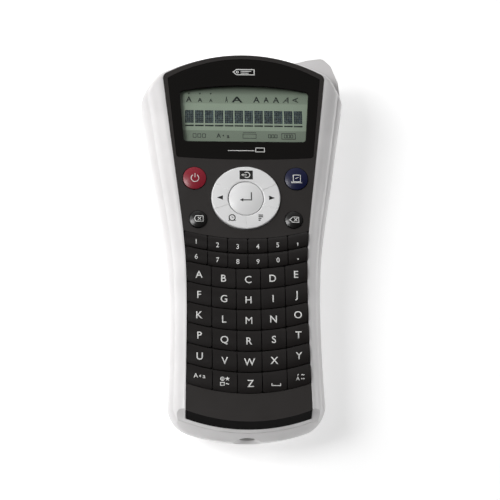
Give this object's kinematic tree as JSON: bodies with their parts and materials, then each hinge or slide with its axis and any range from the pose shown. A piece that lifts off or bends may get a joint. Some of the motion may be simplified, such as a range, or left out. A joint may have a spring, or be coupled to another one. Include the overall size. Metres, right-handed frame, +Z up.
{
  "type": "label maker",
  "caption": "Hand-held label maker with a keyboard, a display, a navigation ring, a tape cassette and a cutter lever.",
  "frame": {"origin": "centre of the footprint on the table, with the label maker lying on its back", "axes": "+Z up, out of the keyboard; +Y towards the display and the tape exit; +X to the right of the keyboard"},
  "size_m": [0.1087, 0.2127, 0.0592],
  "materials": {
    "shell_white": "satin",
    "panel_charcoal": "satin",
    "window_black": "gloss",
    "lcd_panel": "satin",
    "key_black": "matte",
    "power_red": "gloss",
    "print_blue": "gloss",
    "round_black": "gloss",
    "ring_white": "satin",
    "board_green": "satin",
    "mat_grey": "matte",
    "cell_sleeve": "gloss",
    "contact_nickel": "bright",
    "screw_steel": "plain",
    "cassette_grey": "satin",
    "head_metal": "machined",
    "holder_black": "matte",
    "platen_rubber": "matte",
    "motor_steel": "brushed",
    "gear_nylon": "matte",
    "blade_steel": "polished",
    "spring_steel": "plain"
  },
  "bodies": {
    "case": {"front_panel": "panel_charcoal", "display_window": "window_black", "lcd_module": "lcd_panel", "upper_case": "shell_white", "lower_case": "shell_white", "case_screws": "screw_steel", "main_board": "board_green", "keypad_mat": "mat_grey", "batteries": "cell_sleeve", "battery_contacts": "contact_nickel", "tape_cassette": "cassette_grey", "print_head": "head_metal", "drive_motor": "motor_steel", "lever_spring": "spring_steel"},
    "rear_cover": {"rear_cover": "shell_white"},
    "lever": {"cutter_lever": "shell_white"},
    "blade": {"cutter_blade": "blade_steel"},
    "holder": {"roller_holder": "holder_black"},
    "platen": {"platen_roller": "platen_rubber"},
    "pinion": {"motor_pinion": "gear_nylon"},
    "drive_gear": {"drive_gear": "gear_nylon"},
    "spindle": {"ribbon_spindle": "gear_nylon"},
    "nav_ring": {"nav_ring": "ring_white"},
    "number_keys_upper": {"number_keys_upper": "key_black"},
    "number_keys_lower": {"number_keys_lower": "key_black"},
    "power_key": {"power_key": "power_red"},
    "print_key": {"print_key": "print_blue"},
    "clear_key": {"clear_key": "round_black"},
    "delete_key": {"delete_key": "round_black"},
    "enter_key": {"enter_key": "ring_white"},
    "key_a": {"key_a": "key_black"},
    "key_accent": {"key_accent": "key_black"},
    "key_b": {"key_b": "key_black"},
    "key_c": {"key_c": "key_black"},
    "key_caps": {"key_caps": "key_black"},
    "key_d": {"key_d": "key_black"},
    "key_e": {"key_e": "key_black"},
    "key_f": {"key_f": "key_black"},
    "key_g": {"key_g": "key_black"},
    "key_h": {"key_h": "key_black"},
    "key_i": {"key_i": "key_black"},
    "key_j": {"key_j": "key_black"},
    "key_k": {"key_k": "key_black"},
    "key_l": {"key_l": "key_black"},
    "key_m": {"key_m": "key_black"},
    "key_n": {"key_n": "key_black"},
    "key_o": {"key_o": "key_black"},
    "key_p": {"key_p": "key_black"},
    "key_q": {"key_q": "key_black"},
    "key_r": {"key_r": "key_black"},
    "key_s": {"key_s": "key_black"},
    "key_space": {"key_space": "key_black"},
    "key_symbol": {"key_symbol": "key_black"},
    "key_t": {"key_t": "key_black"},
    "key_u": {"key_u": "key_black"},
    "key_v": {"key_v": "key_black"},
    "key_w": {"key_w": "key_black"},
    "key_x": {"key_x": "key_black"},
    "key_y": {"key_y": "key_black"},
    "key_z": {"key_z": "key_black"}
  },
  "joints": [
    {"name": "rear_cover_off", "type": "slide", "parent": "case", "child": "rear_cover", "axis": [0, 0, -1], "range_m": [0, 0.03]},
    {"name": "cutter_press", "type": "hinge", "parent": "case", "child": "lever", "pos_m": [0.04979, 0.07956, 0.02931], "axis": [0, -0.0872, 0.9962], "range_deg": [0, 8], "stiffness_Nm_per_rad": 0.05, "deforming": ["lever_spring"]},
    {"name": "blade_slide", "type": "slide", "parent": "case", "child": "blade", "axis": [-1, 0, 0], "range_m": [0, 0.00301]},
    {"name": "holder_release", "type": "hinge", "parent": "case", "child": "holder", "pos_m": [0.03719, 0.07107, 0.01852], "axis": [0, -0.0872, 0.9962], "range_deg": [-11, 0], "stiffness_Nm_per_rad": 0.05},
    {"name": "platen_spin", "type": "hinge", "parent": "holder", "child": "platen", "pos_m": [0.02439, 0.07834, 0.01916], "axis": [0, -0.0872, 0.9962], "continuous": true},
    {"name": "pinion_spin", "type": "hinge", "parent": "case", "child": "pinion", "pos_m": [0.02969, 0.05077, 0.02679], "axis": [0, -0.0872, 0.9962], "continuous": true},
    {"name": "drive_spin", "type": "hinge", "parent": "case", "child": "drive_gear", "pos_m": [0.01449, 0.0599, 0.03311], "axis": [0, -0.0872, 0.9962], "continuous": true},
    {"name": "spindle_spin", "type": "hinge", "parent": "case", "child": "spindle", "pos_m": [-0.0083, 0.06038, 0.02763], "axis": [0, -0.0872, 0.9962], "continuous": true},
    {"name": "nav_ring_rock", "type": "hinge", "parent": "case", "child": "nav_ring", "pos_m": [0.00019, 0.0195, 0.04804], "axis": [0, 0.9962, 0.0872], "range_deg": [-2.4, 2.4], "stiffness_Nm_per_rad": 0.4},
    {"name": "number_keys_upper_press", "type": "slide", "parent": "case", "child": "number_keys_upper", "axis": [0, 0.0872, -0.9962], "range_m": [0, 0.0008], "stiffness_N_per_m": 400},
    {"name": "number_keys_lower_press", "type": "slide", "parent": "case", "child": "number_keys_lower", "axis": [0, 0.0872, -0.9962], "range_m": [0, 0.0008], "stiffness_N_per_m": 400},
    {"name": "power_key_press", "type": "slide", "parent": "case", "child": "power_key", "axis": [0, 0.0872, -0.9962], "range_m": [0, 0.0008], "stiffness_N_per_m": 400},
    {"name": "print_key_press", "type": "slide", "parent": "case", "child": "print_key", "axis": [0, 0.0872, -0.9962], "range_m": [0, 0.0008], "stiffness_N_per_m": 400},
    {"name": "clear_key_press", "type": "slide", "parent": "case", "child": "clear_key", "axis": [0, 0.0872, -0.9962], "range_m": [0, 0.0008], "stiffness_N_per_m": 400},
    {"name": "delete_key_press", "type": "slide", "parent": "case", "child": "delete_key", "axis": [0, 0.0872, -0.9962], "range_m": [0, 0.0008], "stiffness_N_per_m": 400},
    {"name": "enter_key_press", "type": "slide", "parent": "nav_ring", "child": "enter_key", "axis": [0, 0.0872, -0.9962], "range_m": [0, 0.0008], "stiffness_N_per_m": 400},
    {"name": "key_a_press", "type": "slide", "parent": "case", "child": "key_a", "axis": [0, 0.0872, -0.9962], "range_m": [0, 0.0008], "stiffness_N_per_m": 400},
    {"name": "key_accent_press", "type": "slide", "parent": "case", "child": "key_accent", "axis": [0, 0.0872, -0.9962], "range_m": [0, 0.0008], "stiffness_N_per_m": 400},
    {"name": "key_b_press", "type": "slide", "parent": "case", "child": "key_b", "axis": [0, 0.0872, -0.9962], "range_m": [0, 0.0008], "stiffness_N_per_m": 400},
    {"name": "key_c_press", "type": "slide", "parent": "case", "child": "key_c", "axis": [0, 0.0872, -0.9962], "range_m": [0, 0.0008], "stiffness_N_per_m": 400},
    {"name": "key_caps_press", "type": "slide", "parent": "case", "child": "key_caps", "axis": [0, 0.0872, -0.9962], "range_m": [0, 0.0008], "stiffness_N_per_m": 400},
    {"name": "key_d_press", "type": "slide", "parent": "case", "child": "key_d", "axis": [0, 0.0872, -0.9962], "range_m": [0, 0.0008], "stiffness_N_per_m": 400},
    {"name": "key_e_press", "type": "slide", "parent": "case", "child": "key_e", "axis": [0, 0.0872, -0.9962], "range_m": [0, 0.0008], "stiffness_N_per_m": 400},
    {"name": "key_f_press", "type": "slide", "parent": "case", "child": "key_f", "axis": [0, 0.0872, -0.9962], "range_m": [0, 0.0008], "stiffness_N_per_m": 400},
    {"name": "key_g_press", "type": "slide", "parent": "case", "child": "key_g", "axis": [0, 0.0872, -0.9962], "range_m": [0, 0.0008], "stiffness_N_per_m": 400},
    {"name": "key_h_press", "type": "slide", "parent": "case", "child": "key_h", "axis": [0, 0.0872, -0.9962], "range_m": [0, 0.0008], "stiffness_N_per_m": 400},
    {"name": "key_i_press", "type": "slide", "parent": "case", "child": "key_i", "axis": [0, 0.0872, -0.9962], "range_m": [0, 0.0008], "stiffness_N_per_m": 400},
    {"name": "key_j_press", "type": "slide", "parent": "case", "child": "key_j", "axis": [0, 0.0872, -0.9962], "range_m": [0, 0.0008], "stiffness_N_per_m": 400},
    {"name": "key_k_press", "type": "slide", "parent": "case", "child": "key_k", "axis": [0, 0.0872, -0.9962], "range_m": [0, 0.0008], "stiffness_N_per_m": 400},
    {"name": "key_l_press", "type": "slide", "parent": "case", "child": "key_l", "axis": [0, 0.0872, -0.9962], "range_m": [0, 0.0008], "stiffness_N_per_m": 400},
    {"name": "key_m_press", "type": "slide", "parent": "case", "child": "key_m", "axis": [0, 0.0872, -0.9962], "range_m": [0, 0.0008], "stiffness_N_per_m": 400},
    {"name": "key_n_press", "type": "slide", "parent": "case", "child": "key_n", "axis": [0, 0.0872, -0.9962], "range_m": [0, 0.0008], "stiffness_N_per_m": 400},
    {"name": "key_o_press", "type": "slide", "parent": "case", "child": "key_o", "axis": [0, 0.0872, -0.9962], "range_m": [0, 0.0008], "stiffness_N_per_m": 400},
    {"name": "key_p_press", "type": "slide", "parent": "case", "child": "key_p", "axis": [0, 0.0872, -0.9962], "range_m": [0, 0.0008], "stiffness_N_per_m": 400},
    {"name": "key_q_press", "type": "slide", "parent": "case", "child": "key_q", "axis": [0, 0.0872, -0.9962], "range_m": [0, 0.0008], "stiffness_N_per_m": 400},
    {"name": "key_r_press", "type": "slide", "parent": "case", "child": "key_r", "axis": [0, 0.0872, -0.9962], "range_m": [0, 0.0008], "stiffness_N_per_m": 400},
    {"name": "key_s_press", "type": "slide", "parent": "case", "child": "key_s", "axis": [0, 0.0872, -0.9962], "range_m": [0, 0.0008], "stiffness_N_per_m": 400},
    {"name": "key_space_press", "type": "slide", "parent": "case", "child": "key_space", "axis": [0, 0.0872, -0.9962], "range_m": [0, 0.0008], "stiffness_N_per_m": 400},
    {"name": "key_symbol_press", "type": "slide", "parent": "case", "child": "key_symbol", "axis": [0, 0.0872, -0.9962], "range_m": [0, 0.0008], "stiffness_N_per_m": 400},
    {"name": "key_t_press", "type": "slide", "parent": "case", "child": "key_t", "axis": [0, 0.0872, -0.9962], "range_m": [0, 0.0008], "stiffness_N_per_m": 400},
    {"name": "key_u_press", "type": "slide", "parent": "case", "child": "key_u", "axis": [0, 0.0872, -0.9962], "range_m": [0, 0.0008], "stiffness_N_per_m": 400},
    {"name": "key_v_press", "type": "slide", "parent": "case", "child": "key_v", "axis": [0, 0.0872, -0.9962], "range_m": [0, 0.0008], "stiffness_N_per_m": 400},
    {"name": "key_w_press", "type": "slide", "parent": "case", "child": "key_w", "axis": [0, 0.0872, -0.9962], "range_m": [0, 0.0008], "stiffness_N_per_m": 400},
    {"name": "key_x_press", "type": "slide", "parent": "case", "child": "key_x", "axis": [0, 0.0872, -0.9962], "range_m": [0, 0.0008], "stiffness_N_per_m": 400},
    {"name": "key_y_press", "type": "slide", "parent": "case", "child": "key_y", "axis": [0, 0.0872, -0.9962], "range_m": [0, 0.0008], "stiffness_N_per_m": 400},
    {"name": "key_z_press", "type": "slide", "parent": "case", "child": "key_z", "axis": [0, 0.0872, -0.9962], "range_m": [0, 0.0008], "stiffness_N_per_m": 400}
  ],
  "couplings": [
    {"joint": "blade_slide", "follows": "cutter_press", "m_per_rad": 0.021486},
    {"joint": "pinion_spin", "follows": "drive_spin", "ratio": -4},
    {"joint": "platen_spin", "follows": "drive_spin", "ratio": -2.6667},
    {"joint": "spindle_spin", "follows": "drive_spin", "ratio": -1.7143}
  ]
}
